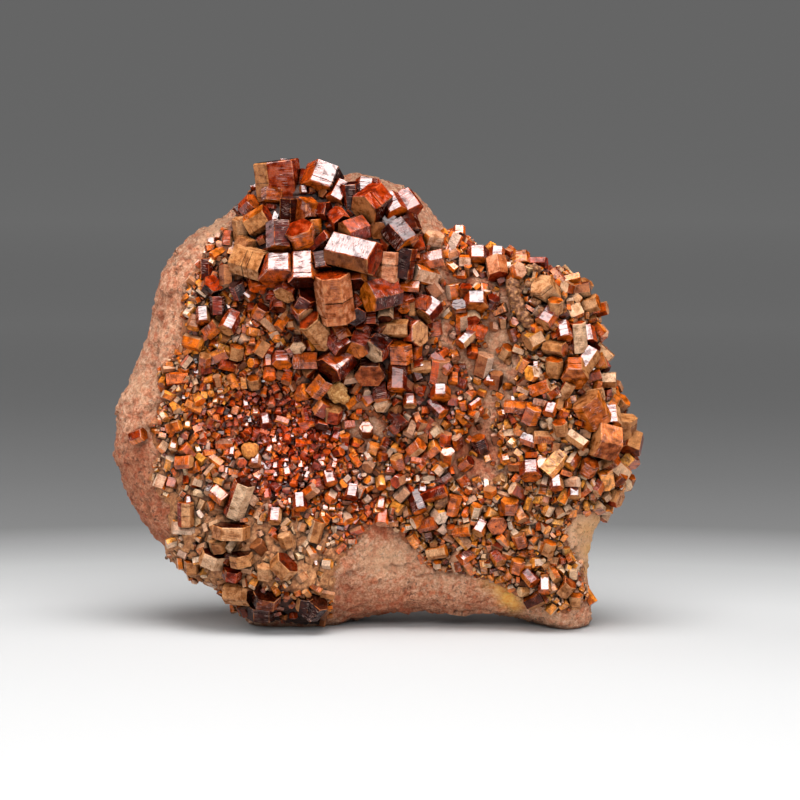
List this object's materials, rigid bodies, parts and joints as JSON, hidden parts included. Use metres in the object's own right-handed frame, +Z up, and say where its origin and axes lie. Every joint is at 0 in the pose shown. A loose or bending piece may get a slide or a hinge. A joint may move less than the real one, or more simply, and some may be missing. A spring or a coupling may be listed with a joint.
{
  "type": "vanadinite mineral specimen",
  "caption": "Standing cabinet mineral specimen: hexagonal red-brown vanadinite crystals grown over one side of a rounded piece of pinkish rock.",
  "frame": {"origin": "below the middle of the specimen's bounding box, on the surface that its two feet stand on", "axes": "+Z up, +X to the right of someone who faces the crystals, +Y away from them, so the crystals face -Y"},
  "size_m": [0.0996, 0.0438, 0.0896],
  "materials": {
    "rock": "rough granular pinkish-tan rock, dry and matt",
    "vanadinite": "glassy to resinous red-brown crystal faces, some dusted tan"
  },
  "bodies": {
    "root": {"matrix": "rock", "vanadinite_crust": "vanadinite", "gully_cluster": "vanadinite", "gully_crystal_right": "vanadinite", "gully_crystal_middle": "vanadinite", "gully_crystal_low": "vanadinite", "gully_crystal_foot": "vanadinite", "window_crystal": "vanadinite", "left_margin_crystal": "vanadinite"}
  },
  "joints": []
}
